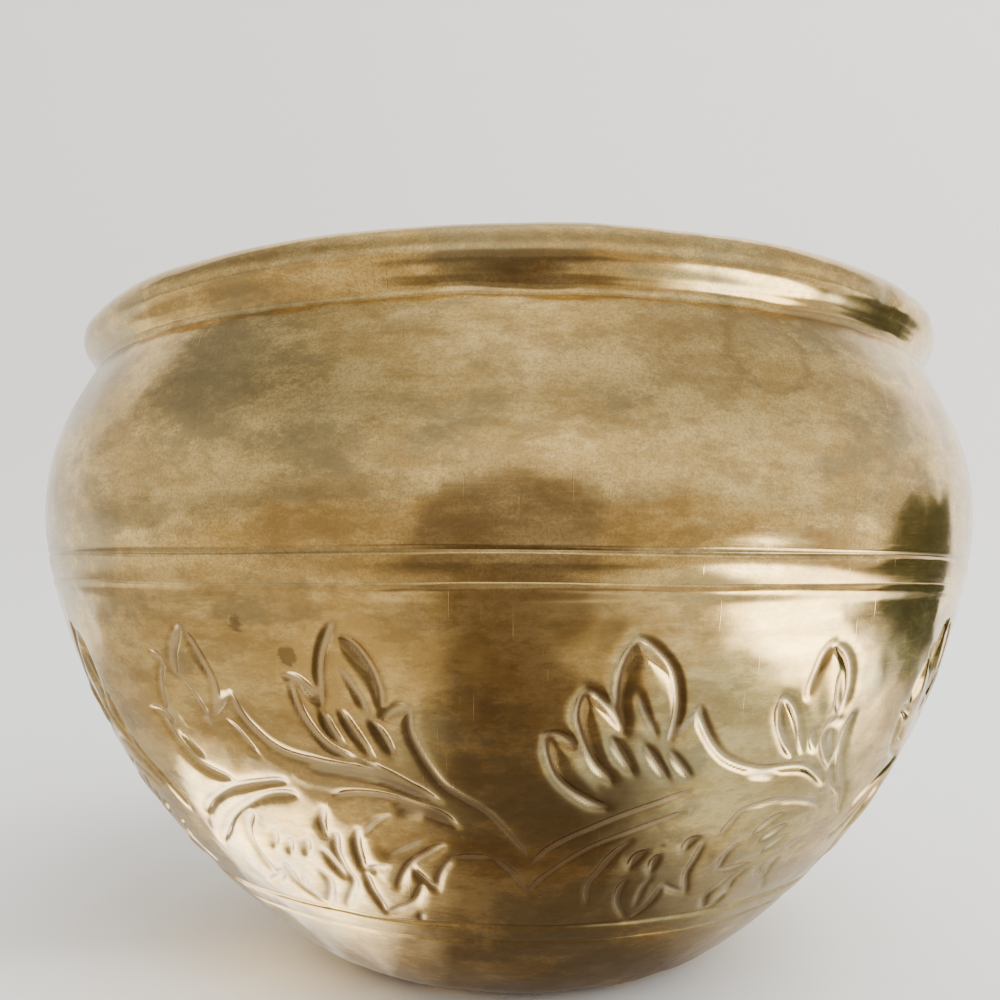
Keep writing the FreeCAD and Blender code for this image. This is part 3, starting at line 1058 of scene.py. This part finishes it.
def tone_curve(nodes, tones):
    """A curve node that gives half of each tone."""
    curve = nodes.new("ShaderNodeFloatCurve")
    points = curve.mapping.curves[0].points
    points[0].location = (tones[0][0], 0.5 * tones[0][1])
    points[1].location = (tones[-1][0], 0.5 * tones[-1][1])
    for place, tone in tones[1:-1]:
        points.new(place, 0.5 * tone)
    curve.mapping.update()
    return curve


def room_light():
    """World light: even on matt things, and by ROOM_TONES and SIDE_TONES in reflections."""
    world = bpy.context.scene.world or bpy.data.worlds.new("studio_room")
    bpy.context.scene.world = world
    world.use_nodes = True
    nodes = world.node_tree.nodes
    links = world.node_tree.links
    room = nodes["Background"]
    room.inputs["Color"].default_value = (1.0, 0.98, 0.95, 1.0)
    direction = nodes.new("ShaderNodeTexCoord").outputs["Generated"]
    parts = nodes.new("ShaderNodeSeparateXYZ")
    upward = tone_curve(nodes, ROOM_TONES)
    sideways = tone_curve(nodes, SIDE_TONES)
    halved, both, bright = (nodes.new("ShaderNodeMath") for _ in range(3))
    halved.operation = "MULTIPLY_ADD"
    halved.inputs[1].default_value = 0.5
    halved.inputs[2].default_value = 0.5
    both.operation = "MULTIPLY"
    bright.operation = "MULTIPLY"
    bright.inputs[1].default_value = 4.0     # the curves give half of each tone
    choose = nodes.new("ShaderNodeMix")      # its two values are inputs 2 and 3
    choose.inputs[2].default_value = MATT_STRENGTH
    links.new(direction, parts.inputs["Vector"])
    links.new(parts.outputs["Z"], upward.inputs["Value"])
    links.new(parts.outputs["X"], halved.inputs[0])
    links.new(halved.outputs["Value"], sideways.inputs["Value"])
    links.new(upward.outputs["Value"], both.inputs[0])
    links.new(sideways.outputs["Value"], both.inputs[1])
    links.new(both.outputs["Value"], bright.inputs[0])
    links.new(nodes.new("ShaderNodeLightPath").outputs["Is Glossy Ray"], choose.inputs[0])
    links.new(bright.outputs["Value"], choose.inputs[3])
    links.new(choose.outputs[0], room.inputs["Strength"])


# A brown card that stands in front, as (x, z), and a green one on the right, as (y, z).
FRONT_CARD_Y = -0.45
FRONT_CARD = [
    (-0.165, 0.0), (0.15, 0.0), (0.128, 0.044), (0.125, 0.09), (0.102, 0.125), (0.095, 0.155),
    (0.06, 0.16), (0.03, 0.178), (-0.03, 0.172), (-0.09, 0.162), (-0.105, 0.115), (-0.135, 0.07),
]
RIGHT_CARD_X = 0.55
RIGHT_CARD = [
    (-0.10, 0.0), (0.26, 0.0), (0.24, 0.12), (0.17, 0.2), (0.11, 0.15), (0.03, 0.17), (-0.05, 0.09),
]


def studio():
    backdrop()
    room_light()
    area_light("window", (1.0, -0.9, 1.5), (0.0, 0.0, 0.1), (2.2, 2.2), 62.0, (1.0, 0.99, 0.97))
    floor_tones()
    front = [(x, FRONT_CARD_Y, z) for x, z in FRONT_CARD]
    card("brown_card_front", front, (0.34, 0.30, 0.28, 1.0))
    right = [(RIGHT_CARD_X, y, z) for y, z in RIGHT_CARD]
    card("green_card_right", right, (0.10, 0.115, 0.07, 1.0))


CAMERA_PLACE = (0.0, -0.3295, 0.1141)
CAMERA_TURNS = (93.966, -0.389, 0.41)        # degrees about X, Y and Z
LENS = 35.66
SENSOR_WIDTH = 36.0


def photo_camera():
    data = bpy.data.cameras.new("photo_camera")
    data.lens = LENS
    data.sensor_width = SENSOR_WIDTH
    data.clip_start = 0.01
    item = bpy.data.objects.new("photo_camera", data)
    item.location = CAMERA_PLACE
    item.rotation_euler = [math.radians(angle) for angle in CAMERA_TURNS]
    bpy.context.scene.collection.objects.link(item)
    bpy.context.scene.camera = item


# ---- assembly --------------------------------------------


def assemble():
    brass = aged_brass()
    for piece, node in ((chased_bowl(), "lower_bowl"), (rolled_shell(), "upper_shell")):
        piece.data.materials.append(brass)
        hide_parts(node)
        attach(piece, "root")
    for node, finish in (("seam_braze", braze()), ("rim_wire", black_iron())):
        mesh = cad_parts[node].data
        mesh.materials.clear()
        mesh.materials.append(finish)


assemble()
studio()
photo_camera()
